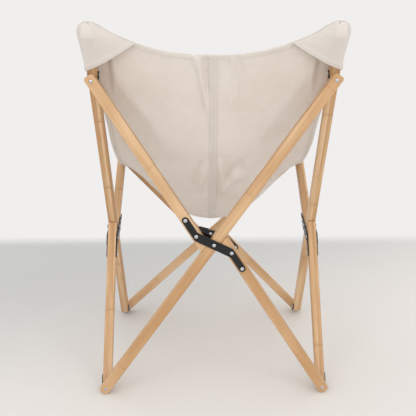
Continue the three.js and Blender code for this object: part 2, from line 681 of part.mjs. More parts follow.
function addPocket(name, out, bar, rows, mouth, mouthShare) {
  const sideEdge = rows.map((row) => row[row.length - 1]);
  const hemEdge = [...rows[0]].reverse();
  const mouthAlong = shareAt(sideEdge, bar, mouth);
  const patch = steps(pocketSteps).map((step) => {
    const share = 1 - step * pocketEndShare;
    const inner = onEdge(hemEdge, (1 - mouthShare) / 2 * share);
    const row = pocketRow(bar, onEdge(sideEdge, mouthAlong * share), inner);
    return row.map((point) => new THREE.Vector3(out * point.x, -point.y, point.z));
  });
  addPiece(name, sheetGeometry(patch, clothThickness), canvas);
}

for (const { name, out } of sides) {
  addPocket(name + '_rear_pocket', out, rearBar, slingRows, rearMouth, rearMouthShare);
  addPocket(name + '_front_pocket', out, frontBar, [...slingRows].reverse(), frontMouth, frontMouthShare);
}

// Stand the part over the middle of its own depth
const bounds = new THREE.Box3().setFromObject(frame, true);
frame.position.y = -(bounds.min.y + bounds.max.y) / 2;
group.updateMatrixWorld(true);

export default group;
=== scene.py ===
import json
import math

import bmesh
import bpy
import numpy as np
from mathutils import Matrix, Vector

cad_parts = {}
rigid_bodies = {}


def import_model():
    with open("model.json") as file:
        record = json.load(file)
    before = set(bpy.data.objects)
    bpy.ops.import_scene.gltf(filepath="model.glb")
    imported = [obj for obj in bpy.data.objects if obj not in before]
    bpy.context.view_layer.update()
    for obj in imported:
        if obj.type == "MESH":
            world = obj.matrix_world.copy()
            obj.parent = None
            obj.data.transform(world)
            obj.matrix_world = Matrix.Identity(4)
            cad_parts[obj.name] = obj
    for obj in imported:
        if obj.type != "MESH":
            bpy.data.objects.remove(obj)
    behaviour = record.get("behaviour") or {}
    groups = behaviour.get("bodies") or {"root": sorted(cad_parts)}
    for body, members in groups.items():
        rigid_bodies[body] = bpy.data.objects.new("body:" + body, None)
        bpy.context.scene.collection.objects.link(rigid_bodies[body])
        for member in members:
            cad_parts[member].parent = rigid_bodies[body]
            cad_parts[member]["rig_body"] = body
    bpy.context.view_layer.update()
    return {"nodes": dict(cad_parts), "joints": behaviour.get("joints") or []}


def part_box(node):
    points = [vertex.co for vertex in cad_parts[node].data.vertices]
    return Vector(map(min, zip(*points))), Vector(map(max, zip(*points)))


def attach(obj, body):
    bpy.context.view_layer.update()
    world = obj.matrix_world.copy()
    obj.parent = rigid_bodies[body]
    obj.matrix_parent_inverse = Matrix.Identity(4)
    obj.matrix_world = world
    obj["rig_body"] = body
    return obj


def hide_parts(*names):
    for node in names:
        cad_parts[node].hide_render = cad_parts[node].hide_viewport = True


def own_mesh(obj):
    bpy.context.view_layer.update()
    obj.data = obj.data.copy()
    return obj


# A folding lounge chair: a canvas sling hung on bamboo bars that cross and fold. It is seen from behind.
# Metres, +Z up, the sitter faces -Y.
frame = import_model()
joints = {joint["name"]: joint for joint in frame["joints"]}


# Camera
# The photograph is taken from behind the chair and a little above its top, with a short telephoto lens. The
# values are the camera's place, its angles in degrees, and its lens length over the width of the picture.
CAMERA_PLACE = (0.0314, 2.0499, 0.9422)
CAMERA_DOWN = 14.817
CAMERA_TURN = 0.582
CAMERA_ROLL = -0.192
LENS_TO_WIDTH = 1.8421

camera_data = bpy.data.cameras.new("camera")
camera_data.sensor_width = 36
camera_data.lens = LENS_TO_WIDTH * camera_data.sensor_width
camera_data.clip_end = 100
camera = bpy.data.objects.new("camera", camera_data)
bpy.context.scene.collection.objects.link(camera)
turn = Matrix.Rotation(math.radians(180 - CAMERA_TURN), 4, "Z")
tilt = Matrix.Rotation(math.radians(90 - CAMERA_DOWN), 4, "X")
roll = Matrix.Rotation(math.radians(CAMERA_ROLL), 4, "Z")
camera.matrix_world = Matrix.Translation(CAMERA_PLACE) @ turn @ tilt @ roll
bpy.context.scene.camera = camera


# Bamboo bars
# Twelve bars are sawn from boards of pressed bamboo, with eased edges, drilled for their rivets and lacquered
# with a satin clear coat. Each board is layers of strips, and each strip shows the bamboo's own joints.
BAMBOO = (210, 171, 126)
BAMBOO_PALE = (228, 197, 158)
BAMBOO_DEEP = (185, 141, 95)
# colour of the joints' dark lines, also used for the painted shade at a sawn end
BAMBOO_JOINT_AND_BUTT_SHADE = (134, 88, 50)
LAYER = 0.006  # thickness of a layer of strips
BAND_SPACING = 0.29  # usual length between a strip's joints
FIRST_BAND = 0.06  # least length from a bar's end to its first joint
BAND_SHIFT = 0.04  # how far a joint may lie from its usual place
BAND_WIDTH = 0.0011
BAND_WANDER = 0.006
GLOW_WIDTH = 0.012  # the soft darker zone beside a joint
# reach of the painted shade at a half bar's sawn end, where it meets another bar
BUTT_SHADE_REACH = 0.0045
WELD = 0.00002  # vertices closer than this are one


def linear(red, green, blue):
    """A colour written in the screen's 0 to 255 values, as the shader takes it."""
    share = np.array([red, green, blue]) / 255
    value = np.where(share <= 0.04045, share / 12.92, ((share + 0.055) / 1.055) ** 2.4)
    return (*map(float, value), 1.0)


class Value:
    """A socket of a material, with arithmetic that adds Math nodes."""

    def __init__(self, finish, socket):
        self.finish = finish
        self.socket = socket

    def maths(self, operation, *others):
        return self.finish.node("ShaderNodeMath", dict(enumerate([self, *others])), operation=operation)

    def __add__(self, other):
        return self.maths("ADD", other)

    def __sub__(self, other):
        return self.maths("SUBTRACT", other)

    def __mul__(self, other):
        return self.maths("MULTIPLY", other)

    def __truediv__(self, other):
        return self.maths("DIVIDE", other)

    def __rsub__(self, other):
        return (self * -1) + other

    __radd__ = __add__
    __rmul__ = __mul__


class Finish:
    """A material made of nodes. Its last node is a Principled BSDF."""

    def __init__(self, name):
        self.material = bpy.data.materials.new(name)
        self.material.use_nodes = True
        self.tree = self.material.node_tree
        self.tree.nodes.clear()

    def node(self, kind, sockets=None, output=0, **settings):
        """Adds a node, sets it, then gives its sockets values or links. Returns one of its outputs."""
        made = self.tree.nodes.new(kind)
        for name, value in settings.items():
            setattr(made, name, value)
        for name, value in (sockets or {}).items():
            socket = made.inputs[name]
            if isinstance(value, Value):
                self.tree.links.new(value.socket, socket)
            else:
                socket.default_value = value
        return Value(self, made.outputs[output]) if made.outputs else None

    def place(self):
        return self.node("ShaderNodeTexCoord", output="Object")

    def dot(self, vector, other):
        return self.node("ShaderNodeVectorMath", {0: vector, 1: other}, output="Value", operation="DOT_PRODUCT")

    def vector(self, x, y, z):
        return self.node("ShaderNodeCombineXYZ", {0: x, 1: y, 2: z})

    def noise(self, vector, scale, detail=2.0, roughness=0.5):
        sockets = {"Vector": vector, "Scale": scale, "Detail": detail, "Roughness": roughness}
        return self.node("ShaderNodeTexNoise", sockets)

    def white(self, value):
        return self.node("ShaderNodeTexWhiteNoise", {"W": value}, noise_dimensions="1D")

    def mix(self, share, first, second):
        sockets = {"Factor": share, 6: first, 7: second}
        return self.node("ShaderNodeMix", sockets, output=2, data_type="RGBA")

    def smooth(self, value, low, high):
        """0 below low, 1 above high, and a soft step between them."""
        sockets = {"Value": value, "From Min": low, "From Max": high}
        return self.node("ShaderNodeMapRange", sockets, interpolation_type="SMOOTHSTEP")

    def bump(self, height, distance, strength=1.0):
        return self.node("ShaderNodeBump", {"Height": height, "Distance": distance, "Strength": strength})

    def surface(self, **sockets):
        named = {name.replace("_", " "): value for name, value in sockets.items()}
        shader = self.node("ShaderNodeBsdfPrincipled", named, subsurface_method="BURLEY")
        self.node("ShaderNodeOutputMaterial", {"Surface": shader})
        return self.material


def corners_of(node):
    """A CAD node's vertices, one row each."""
    points = np.zeros(len(frame["nodes"][node].data.vertices) * 3)
    frame["nodes"][node].data.vertices.foreach_get("co", points)
    return points.reshape(-1, 3)


def long_way(points):
    """The direction in which the points reach furthest."""
    return np.linalg.svd(points - points.mean(0), full_matrices=False)[2][0]


def bamboo(name, seed, along, through, bands, clear=1.0, butt=None):
    """Layers of strips across the bar's depth, fine fibres along it, and a dark thin line at each joint. clear is
    how strong these lines are. butt is the place along the bar of the sawn end that meets another bar, which is
    darkened with painted shade, standing in for the contact shadow between the bars."""
    finish = Finish(name)
    place = finish.place()
    across = np.cross(through, along)
    length = finish.dot(place, tuple(along))
    depth = finish.dot(place, tuple(through)) + seed * LAYER * 31
    width = finish.dot(place, tuple(across))
    layer = (depth / LAYER).maths("FLOOR")
    chance = finish.white(layer + seed)
    other_chance = finish.white(layer * 7.3 + seed)

    fibre = finish.noise(finish.vector(length * 9, width * 900, depth * 900), 1.0, 4.0, 0.6)
    streak = finish.noise(finish.vector(length * 3, width * 170, depth * 170), 1.0, 3.0, 0.6)
    cloud = finish.noise(finish.vector(length * 5, width * 20, layer * 3.7), 1.0, 2.0)
    tone = finish.smooth(streak * 0.6 + cloud * 0.5 + chance * 0.25, 0.45, 0.95)
    colour = finish.mix(tone, linear(*BAMBOO_DEEP), linear(*BAMBOO))
    colour = finish.mix(finish.smooth(cloud * 0.7 + other_chance * 0.5, 0.55, 1.0), colour, linear(*BAMBOO_PALE))
    colour = finish.mix(finish.smooth(fibre, 0.56, 0.74) * 0.35, colour, linear(*BAMBOO_DEEP))

    wander = finish.noise(finish.vector(width * 55, layer * 5.1, seed), 1.0, 2.0)
    bent = length + wander * BAND_WANDER
    nearest = 0.0
    for band in bands:
        near = 1 - finish.smooth((bent - band - other_chance * 0.002).maths("ABSOLUTE"), 0.0, BAND_WIDTH)
        nearest = near if band == bands[0] else nearest.maths("MAXIMUM", near)
    glow = 0.0
    for band in bands:
        near = 1 - finish.smooth((bent - band - 0.004).maths("ABSOLUTE"), 0.0, GLOW_WIDTH)
        glow = near if band == bands[0] else glow.maths("MAXIMUM", near)
    colour = finish.mix(glow * (0.35 * clear), colour, linear(*BAMBOO_DEEP))
    colour = finish.mix(nearest * (0.75 * clear), colour, linear(*BAMBOO_JOINT_AND_BUTT_SHADE))

    # Painted shade: the sawn end that meets another bar is darkened, standing in for the contact shadow there.
    if butt is not None:
        butt_shade = 1 - finish.smooth((length - butt).maths("ABSOLUTE"), 0.0004, BUTT_SHADE_REACH)
        colour = finish.mix(butt_shade * 0.8, colour, linear(*BAMBOO_JOINT_AND_BUTT_SHADE))

    seam = (depth / LAYER - layer - 0.5).maths("ABSOLUTE")
    glue = finish.smooth(seam, 0.46, 0.5)
    colour = finish.mix(glue * 0.35, colour, linear(*BAMBOO_DEEP))
    height = fibre * 0.4 - nearest * 0.5 - glue * 0.5
    return finish.surface(
        Base_Color=colour,
        Roughness=0.42 + fibre * 0.14,
        Normal=finish.bump(height, 0.0002, 0.5),
        Coat_Weight=0.25,
        Coat_Roughness=0.35,
    )


def dressed(node, material, ease=0.0, smooth_angle=50):
    """A merged copy of a CAD node that takes its place, with its small edges eased and its round parts smooth."""
    copy = bpy.data.objects.new(node + "_finished", frame["nodes"][node].data.copy())
    bpy.context.scene.collection.objects.link(copy)
    mesh = bmesh.new()
    mesh.from_mesh(copy.data)
    bmesh.ops.remove_doubles(mesh, verts=mesh.verts, dist=WELD)
    bmesh.ops.dissolve_limit(mesh, angle_limit=math.radians(1), verts=mesh.verts, edges=mesh.edges)
    mesh.to_mesh(copy.data)
    mesh.free()
    copy.data.shade_smooth()
    if ease:
        bevel = copy.modifiers.new("eased edges", "BEVEL")
        bevel.width = ease
        bevel.segments = 2
        bevel.limit_method = "ANGLE"
        bevel.angle_limit = math.radians(35)
        bevel.harden_normals = False
    weighted = copy.modifiers.new("even shading", "WEIGHTED_NORMAL")
    weighted.keep_sharp = True
    copy.data.set_sharp_from_angle(angle=math.radians(smooth_angle))
    copy.data.materials.clear()
    copy.data.materials.append(material)
    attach(copy, frame["nodes"][node]["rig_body"])
    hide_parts(node)
    return copy


rear_normal = np.array(joints["fold"]["axis"])
front_normal = np.array(joints["front_cross"]["axis"])
side_normal = np.array([1.0, 0.0, 0.0])
bars = [(f"rear_cross_{part}_bar", rear_normal) for part in ("through", "upper", "lower")]
bars += [(f"front_cross_{part}_bar", front_normal) for part in ("through", "upper", "lower")]
bars += [(f"{side}_side_{part}_bar", side_normal) for side in ("left", "right")
         for part in ("through", "rear", "front")]
CROSSINGS = {"rear_cross": "fold", "front_cross": "front_cross", "left_side": "left_side_crossing",
             "right_side": "right_side_crossing"}
draws = np.random.default_rng(11)
for seed, (bar, normal) in enumerate(bars):
    points = corners_of(bar)
    along = long_way(points)
    if along[2] < 0:
        along = -along
    reach = points @ along
    first = reach.min() + draws.uniform(FIRST_BAND, BAND_SPACING)
    bands = [float(band) for band in np.arange(first, reach.max(), BAND_SPACING)] or [float(first)]
    bands = [float(band + draws.uniform(-BAND_SHIFT, BAND_SHIFT)) for band in bands]
    crossing = np.array(joints[CROSSINGS[bar.rsplit("_", 2)[0]]]["pos_m"]) @ along
    butt = min((reach.min(), reach.max()), key=lambda end: abs(end - crossing))
    material = bamboo(f"bamboo {seed + 1}", seed + 1, along, normal, bands, 1.0 if "side" in bar else 0.5,
                      None if "through" in bar else butt)
    dressed(bar, material)


# Plates and brackets
# Cranked plates hold the half bars on both sides of a crossing, and bent brackets join the bars at the corners.
# They are pressed from steel strip and coated in satin black, which is a little worn in places.
COATING = (17, 18, 22)
COATING_WORN = (70, 70, 74)
EASED_RIM = 0.00045


def coated_steel():
    """Satin black coating with a fine orange peel, and a few dull and worn places."""
    finish = Finish("black coating")
    place = finish.place()
    peel = finish.noise(place, 900.0, 2.0)
    cloud = finish.noise(place, 60.0, 3.0)
    wear = finish.smooth(finish.noise(place, 260.0, 5.0, 0.7), 0.66, 0.8)
    colour = finish.mix(wear * 0.5, linear(*COATING), linear(*COATING_WORN))
    return finish.surface(
        Base_Color=colour,
        Roughness=0.3 + cloud * 0.16,
        Metallic=0.0,
        Normal=finish.bump(peel, 0.00012, 0.35),
        Specular_IOR_Level=0.4,
    )


black = coated_steel()
plates = [f"{cross}_{face}_plate" for cross in ("rear_cross", "front_cross", "left_side", "right_side")
          for face in ("outer", "inner")]
brackets = [f"{side}_{corner}_bracket" for side in ("left", "right")
            for corner in ("rear_foot", "rear_top", "front_foot", "front_top")]
for node in plates + brackets:
    dressed(node, black, EASED_RIM, 40)


# Rivets
# Every pivot and every plate is held by a steel rivet with a domed head, set by machine and left bright.
# Where the fold opens a pivot, its head and its tail are two pieces.
HEAD_RADIUS = 0.0045
HEAD_HEIGHT = 0.0026
HEAD_FOOT = 0.0004  # flat rim under the dome
SHANK_RADIUS = 0.0025
SHANK_END = 0.98  # a shank's bare end is drawn in to this share


def bright_steel():
    """Bright steel with a soft cloudiness."""
    finish = Finish("bright rivets")
    place = finish.place()
    grain = finish.noise(place, 1400.0, 3.0)
    cloud = finish.noise(place, 220.0, 2.0)
    return finish.surface(
        Base_Color=finish.mix(cloud, linear(176, 177, 182), linear(222, 222, 226)),
        Metallic=1.0,
        Roughness=0.24 + cloud * 0.14,
        Normal=finish.bump(grain, 0.00005, 0.3),
    )


rivet_finish = bright_steel()
ROUND = 32


def turned(profile, place, way):
    """A profile of (radius, height) rows turned about an axis through place, height being along the axis."""
    way = np.array(way) / np.linalg.norm(way)
    side = np.cross(way, [0.3, 0.5, 0.8])
    side /= np.linalg.norm(side)
    other = np.cross(way, side)
    angle = np.linspace(0, 2 * np.pi, ROUND, endpoint=False)[None, :, None]
    profile = np.array(profile)
    radius, height = profile[:, 0, None, None], profile[:, 1, None, None]
    return np.array(place) + radius * (np.cos(angle) * side + np.sin(angle) * other) + height * way


def ring_faces(rows, first=0):
    """Quads between rings of ROUND points. The two ends stay open."""
    ring = np.arange(ROUND)
    after = (ring + 1) % ROUND
    start = first + np.arange(rows - 1)[:, None] * ROUND
    quads = np.stack([start + ring, start + after, start + after + ROUND, start + ring + ROUND], -1)
    return quads.reshape(-1, 4)


def dome(base, way=1):
    """The head's outline from its top to its rim: a quarter of an ellipse with a small flat foot."""
    angle = np.linspace(0.04, np.pi / 2, 9)
    rim = [[HEAD_RADIUS, base]]
    height = HEAD_FOOT + (HEAD_HEIGHT - HEAD_FOOT) * np.cos(angle)
    arc = np.stack([HEAD_RADIUS * np.sin(angle), base + way * height], 1)
    return np.vstack([arc, rim])


def new_piece(name, points, faces, material, body):
    """A smooth mesh from arrays of points and faces, which rides on a body."""
    mesh = bpy.data.meshes.new(name)
    mesh.from_pydata(points.reshape(-1, 3).tolist(), [], faces if isinstance(faces, list) else faces.tolist())
    mesh.update()
    mesh.shade_smooth()
    mesh.materials.append(material)
    piece = bpy.data.objects.new(name, mesh)
    bpy.context.scene.collection.objects.link(piece)
    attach(piece, body)
    return piece


def rivet_mesh(profile, place, way):
    """Points and faces of a turned closed rivet: the outline's first and last rings are closed by caps."""
    points = turned(profile, place, way)
    rows = len(profile)
    faces = ring_faces(rows)[:, ::-1].tolist()
    faces.append(list(range(ROUND)))
    faces.append(list(range((rows - 1) * ROUND, rows * ROUND))[::-1])
    return points.reshape(-1, 3), faces


rivets = [node for node in frame["nodes"] if node.endswith(("_rivet", "_rivet_tail", "_pivot"))]
for node in sorted(rivets):
    points = corners_of(node)
    way = side_normal if "side" in node else rear_normal if "rear" in node else front_normal
    middle = (points.max(0) + points.min(0)) / 2
    height = (points - middle) @ way
    aside = np.linalg.norm(points - middle - height[:, None] * way, axis=1)
    low, high = height.min(), height.max()
    # an end has a head where it is clearly wider than the shank
    wide_low = aside[height < low + HEAD_HEIGHT * 1.2].max() > SHANK_RADIUS * 1.3
    wide_high = aside[height > high - HEAD_HEIGHT * 1.2].max() > SHANK_RADIUS * 1.3
    profile = dome(high - HEAD_HEIGHT) if wide_high else np.array([[SHANK_RADIUS * SHANK_END, high]])
    profile = np.vstack([profile, [[SHANK_RADIUS, high - (HEAD_HEIGHT if wide_high else 0)]]])
    profile = np.vstack([profile, [[SHANK_RADIUS, low + (HEAD_HEIGHT if wide_low else 0)]]])
    tail = dome(low + HEAD_HEIGHT, -1)[::-1] if wide_low else np.array([[SHANK_RADIUS * SHANK_END, low]])
    profile = np.vstack([profile, tail])
    points, faces = rivet_mesh(profile, middle, way)
    piece = new_piece(node + "_head", points, faces, rivet_finish, frame["nodes"][node]["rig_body"])
    piece.data.set_sharp_from_angle(angle=math.radians(45))
    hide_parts(node)


# The plates' own rivets: bright heads over the heads of the coated plates. A head's top is the highest point of
# its plate, and a plate has four.
PLATE_HEAD_SCALE = 1.06  # the bright heads cover the coated ones, being this much wider
PLATE_HEAD_LIFT = 0.00015  # and this much higher
PLATE_HEAD_SUNK = 0.0002
TOP_WITHIN = 0.00008  # a plate's points this close to its highest one are a head's top
for node in plates:
    points = corners_of(node)
    twin = corners_of(node.replace("outer", "inner") if "outer" in node else node.replace("inner", "outer"))
    way = side_normal if "side" in node else rear_normal if "rear" in node else front_normal
    if (points.mean(0) - twin.mean(0)) @ way < 0:
        way = -way
    height = points @ way
    tops = np.unique(points[height > height.max() - TOP_WITHIN].round(5), axis=0)
    for number, top in enumerate(tops):
        cap = dome(-HEAD_HEIGHT) * [PLATE_HEAD_SCALE, 1.0] + [0, PLATE_HEAD_LIFT]
        cap = np.vstack([cap, [[HEAD_RADIUS * PLATE_HEAD_SCALE, -HEAD_HEIGHT - PLATE_HEAD_SUNK]]])
        points, faces = rivet_mesh(cap, top, way)
        piece = new_piece(f"{node}_rivet_{number + 1}", points, faces, rivet_finish,
                          frame["nodes"][node]["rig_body"])
        piece.data.set_sharp_from_angle(angle=math.radians(45))


# Sling
# The seat is two panels of heavy cotton canvas, joined down the middle by a flat seam with a row of stitches on
# each side and one along the join. It is turned over and stitched along all its edges.
HALF_WIDTH = joints["left_side_crossing"]["pos_m"][0]
BAR_WIDTH = 0.024
BAR_DEPTH = 0.022
TIP_LENGTH = 0.118  # side bar past its top rivet, into the pocket
HALF_BAR_OFFSET = 0.024
HEM_THICKNESS = 0.0024
CANVAS_THICKNESS = 0.0014
CLOTH_RISE = 0.0159  # middle of the cloth above the middle of a bar that it lies on
CORNER_RISE = 0.0139
BEDDING = 0.024  # the cloth lies level this far inside of a bar
POCKET_REACH = 0.018
POCKET_WING = 0.022
CORNER_IN = HEAD_RADIUS * 0.58  # the corners lie this much inside of the side frames' middles
TIP_SHORT = 0.0011  # the hem turns in this much before a bar's tip
REAR_MOUTH = 0.020
FRONT_MOUTH = 0.068
FRONT_OVERLAP = 0.058
HEM_DRAW = 0.005
HEM_SAG = 0.062
TOP_HEM_DROP = 0.078
TOP_HEM_FORWARD = 0.048
FRONT_HEM_DROP = 0.112
FRONT_HEM_BACK = 0.108
BACK_PULL = (0.130, 0.358)
SEAT_PULL = (0.310, 0.258)
DISH_POWER = 2.3
SEAT_FULLNESS = 1.0  # how much sooner the seat's rows rise, being flatter at the side hems
FULL_SHARE = 0.45  # share of the cloth's length at which the fullness is reached
HEM_WIDTH = 0.014
SEAM_HALF = 0.0105  # half the width of the middle seam's band
CORNER_ROUND = 0.014
HEM_STITCHES = 0.011  # the hems' row of stitches, from the edge
THREAD_SPACING = 0.0011  # of the weave
STEP_HALF = 0.0004  # half the width of the step at a hem or seam
SEWN_WIDTH = 0.0011  # a row of stitches pulls the cloth in over this width
SEWN_DEPTH = 0.0005
SEAM_ROWS = (0.0, 0.0082)  # its rows of stitches, from the middle
ROWS, COLUMNS = 264, 164

CANVAS = (216, 210, 205)
CANVAS_LIGHT = (227, 221, 215)
CANVAS_SHADE = (209, 201, 193)
# painted shade laid along the rows of stitches
CANVAS_GROOVE_SHADE = (170, 152, 136)


def flat_middle(node):
    """The middle of a CAD node's box in the side plane: forward and up."""
    low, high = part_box(node)
    return np.array([-(low.y + high.y) / 2, (low.z + high.z) / 2])


def flat_pivot(joint):
    place = joints[joint]["pos_m"]
    return np.array([-place[1], place[2]])


def turned_by(vector, angle):
    cosine, sine = math.cos(angle), math.sin(angle)
    return np.array([vector[0] * cosine - vector[1] * sine, vector[0] * sine + vector[1] * cosine])


class Bar:
    """A side bar's own axes in the side plane: distance along it from its top rivet, and rise over its middle."""

    def __init__(self, top, along):
        self.top = top
        self.way = along / np.linalg.norm(along)
        up = np.array([-self.way[1], self.way[0]])
        self.up = up if up[1] > 0 else -up

    def at(self, distance, rise):
        return self.top + np.multiply.outer(distance, self.way) + np.multiply.outer(rise, self.up)

    def along(self, flat):
        return (flat - self.top) @ self.way

    def rise(self, flat):
        return (flat - self.top) @ self.up


crossing = flat_pivot("left_side_crossing")
rear_top, front_top = flat_middle("left_rear_top_side_rivet"), flat_pivot("left_front_top")
front_foot = flat_pivot("left_front_foot")
arm = np.linalg.norm(front_top - crossing)
rear_bar = Bar(rear_top, rear_top - front_foot)
front_bar = Bar(front_top, turned_by(front_top - crossing, math.asin(HALF_BAR_OFFSET / arm)))
corner_along = TIP_LENGTH + POCKET_REACH


def evened(points, count):
    """The same curve with count points at equal steps of its length."""
    length = np.r_[0, np.cumsum(np.linalg.norm(np.diff(points, axis=0), axis=1))]
    steps = np.linspace(0, length[-1], count)
    return np.stack([np.interp(steps, length, points[:, axis]) for axis in range(points.shape[1])], 1)


def smooth_curve(points, per_span=60):
    """A centripetal Catmull-Rom curve: cubic spans whose ends take their slopes from the neighbours."""
    points = np.array(points)
    points = np.vstack([2 * points[0] - points[1], points, 2 * points[-1] - points[-2]])
    spans = []
    t = np.linspace(0, 1, per_span, endpoint=False)[:, None]
    for p0, p1, p2, p3 in zip(points, points[1:], points[2:], points[3:]):
        d0, d1, d2 = (np.linalg.norm(b - a) ** 0.5 for a, b in ((p0, p1), (p1, p2), (p2, p3)))
        slope1 = ((p1 - p0) / d0 - (p2 - p0) / (d0 + d1) + (p2 - p1) / d1) * d1
        slope2 = ((p2 - p1) / d1 - (p3 - p1) / (d1 + d2) + (p3 - p2) / d2) * d1
        cubic = p1 + slope1 * t + (3 * (p2 - p1) - 2 * slope1 - slope2) * t**2
        spans.append(cubic + (2 * (p1 - p2) + slope1 + slope2) * t**3)
    return np.vstack([*spans, points[-2:-1]])


def bezier(points, count=400):
    t = np.linspace(0, 1, count)[:, None]
    p0, p1, p2, p3 = points
    return (1 - t) ** 3 * p0 + 3 * (1 - t) ** 2 * t * p1 + 3 * (1 - t) * t**2 * p2 + t**3 * p3


def hem_point(x, flat):
    return np.array([x, flat[0], flat[1]])


rear_end, front_end = rear_bar.at(REAR_MOUTH, CLOTH_RISE), front_bar.at(-FRONT_OVERLAP, CLOTH_RISE)
wide = HALF_WIDTH + POCKET_WING
hem_points = [
    hem_point(HALF_WIDTH - CORNER_IN, rear_bar.at(corner_along, CORNER_RISE)),
    hem_point(wide, rear_bar.at(TIP_LENGTH - TIP_SHORT, CLOTH_RISE)),
    hem_point(wide, rear_bar.at((TIP_LENGTH + REAR_MOUTH) / 2, CLOTH_RISE)),
    hem_point(wide - HEM_DRAW, rear_end),
]
for share in (0.25, 0.5, 0.75):
    lowered = rear_end + (front_end - rear_end) * share - [0, HEM_SAG * 4 * share * (1 - share)]
    hem_points.append(hem_point(HALF_WIDTH - HEM_DRAW, lowered))
hem_points += [
    hem_point(HALF_WIDTH, front_end),
    hem_point(wide, front_bar.at(0.0, CLOTH_RISE)),
    hem_point(wide, front_bar.at(TIP_LENGTH - TIP_SHORT, CLOTH_RISE)),
    hem_point(HALF_WIDTH - CORNER_IN, front_bar.at(corner_along, CORNER_RISE)),
]
side_hem = evened(smooth_curve(hem_points), 1200)
rear_corner, front_corner = side_hem[0], side_hem[-1]
rear_middle = np.array([0, rear_corner[1] + TOP_HEM_FORWARD, rear_corner[2] - TOP_HEM_DROP])
front_middle = np.array([0, front_corner[1] - FRONT_HEM_BACK, front_corner[2] - FRONT_HEM_DROP])
seam = evened(bezier([
    rear_middle,
    rear_middle + [0, BACK_PULL[0], -BACK_PULL[1]],
    front_middle - [0, SEAT_PULL[0], SEAT_PULL[1]],
    front_middle,
]), 1200)
seam_length = np.linalg.norm(np.diff(seam, axis=0), axis=1).sum()


def along_curve(curve, share):
    place = np.clip(share, 0, 1) * (len(curve) - 1)
    steps = np.arange(len(curve))
    return np.stack([np.interp(place, steps, curve[:, axis]) for axis in range(3)], -1)


def lie_on(bar, points):
    """Near the side frame the cloth is raised to lie on the bar, and level for BEDDING inside of it."""
    flat = points[..., 1:]
    distance, rise = bar.along(flat), bar.rise(flat)
    past_tip = np.clip((distance - TIP_LENGTH) / POCKET_REACH, 0, 1)
    inside = np.maximum(0, HALF_WIDTH - BAR_DEPTH / 2 - BEDDING - np.abs(points[..., 0]))
    missing = np.maximum(0, CLOTH_RISE + (CORNER_RISE - CLOTH_RISE) * past_tip - inside - rise)
    return np.concatenate([points[..., :1], flat + missing[..., None] * bar.up], -1)


def step(low, high, value):
    """0 below low, 1 above high, and a soft step between them."""
    t = np.clip((value - low) / (high - low), 0, 1)
    return t * t * (3 - 2 * t)


def rounded(across, along):
    """Near a corner a place moves in, so that the corner becomes a quarter of a circle: with p and q the shares of
    the way from the circle's middle to the two hems, p becomes p * sqrt(1 - q * q / 2) and q the same with p."""
    from_end = np.minimum(along, 1 - along)
    p = np.clip(1 - (1 - np.abs(across)) * HALF_WIDTH / CORNER_ROUND, 0, 1)
    q = np.clip(1 - from_end * seam_length / CORNER_ROUND, 0, 1)
    across = across - np.sign(across) * p * (1 - np.sqrt(1 - q * q / 2)) * CORNER_ROUND / HALF_WIDTH
    inward = np.where(along < 0.5, 1, -1)
    return across, along + inward * q * (1 - np.sqrt(1 - p * p / 2)) * CORNER_ROUND / seam_length


def hung(across, along):
    """The cloth's middle surface. across runs from -1 to 1 between the side hems, along from the rear hem to the
    front hem. Each row rises from the seam to the hems as side ** power * (1 + fullness * (1 - side ** 2)), where
    side is the share of the way to the hem and the fullness grows from nothing at the rear hem."""
    across, along = rounded(across, along)
    edge, low = along_curve(side_hem, along), along_curve(seam, along)
    side = np.abs(across)[..., None]
    fullness = SEAT_FULLNESS * step(0, FULL_SHARE, along)[..., None]
    lift = side**DISH_POWER * (1 + fullness * (1 - side**2))
    points = low + (edge - low) * lift
    points[..., 0] = across * edge[..., 0]
    rear, front = lie_on(rear_bar, points), lie_on(front_bar, points)
    return np.where(along[..., None] < 0.5, rear, front)


def ridge(across, along, start, end, width, bow=0.0):
    """A soft fold along a line between two places on the cloth: a bell across it that fades out at both ends."""
    start, end = np.array(start), np.array(end)
    line = end - start
    length = np.linalg.norm(line)
    way = line / length
    aside = np.array([-way[1], way[0]])
    offset = np.stack([across - start[0], along - start[1]], -1)
    t = offset @ way / length
    distance = offset @ aside - bow * length * 4 * t * (1 - t)
    return np.exp(-((distance / width) ** 2)) * step(-0.15, 0.2, t) * (1 - step(0.75, 1.15, t))


# (height, start, end, width, bow): places are shares across, from the sitter's right to left, and along
FOLDS = (
    (-0.0055, (0.175, 0.000), (0.100, 0.034), 0.016, 0.0),
    (-0.0090, (0.106, 0.022), (0.030, 0.170), 0.019, -0.05),
    (0.0060, (0.075, 0.000), (0.042, 0.110), 0.022, 0.0),
    (-0.0045, (-0.130, 0.000), (-0.200, 0.145), 0.022, 0.05),
    (0.0036, (-0.170, 0.010), (-0.230, 0.120), 0.026, 0.0),
    (-0.0026, (-0.220, 0.000), (-0.300, 0.100), 0.024, 0.05),
    (-0.0040, (0.770, 0.150), (0.400, 0.330), 0.045, 0.05),
    (-0.0040, (-0.740, 0.120), (-0.400, 0.320), 0.045, -0.05),
    (-0.0085, (-0.060, 0.320), (-0.100, 0.445), 0.022, 0.06),
    (-0.0090, (-0.085, 0.450), (-0.280, 0.395), 0.022, 0.12),
    (0.0080, (-0.120, 0.412), (-0.290, 0.352), 0.026, 0.10),
    (-0.0066, (0.040, 0.330), (0.120, 0.440), 0.022, -0.08),
    (0.0045, (0.080, 0.330), (0.180, 0.420), 0.026, -0.08),
    (0.0040, (0.850, 0.930), (0.350, 0.780), 0.040, -0.1),
    (0.0040, (-0.850, 0.930), (-0.350, 0.780), 0.040, 0.1),
    (-0.0030, (0.850, 0.860), (0.450, 0.700), 0.035, -0.1),
    (-0.0030, (-0.850, 0.860), (-0.450, 0.700), 0.035, 0.1),
)


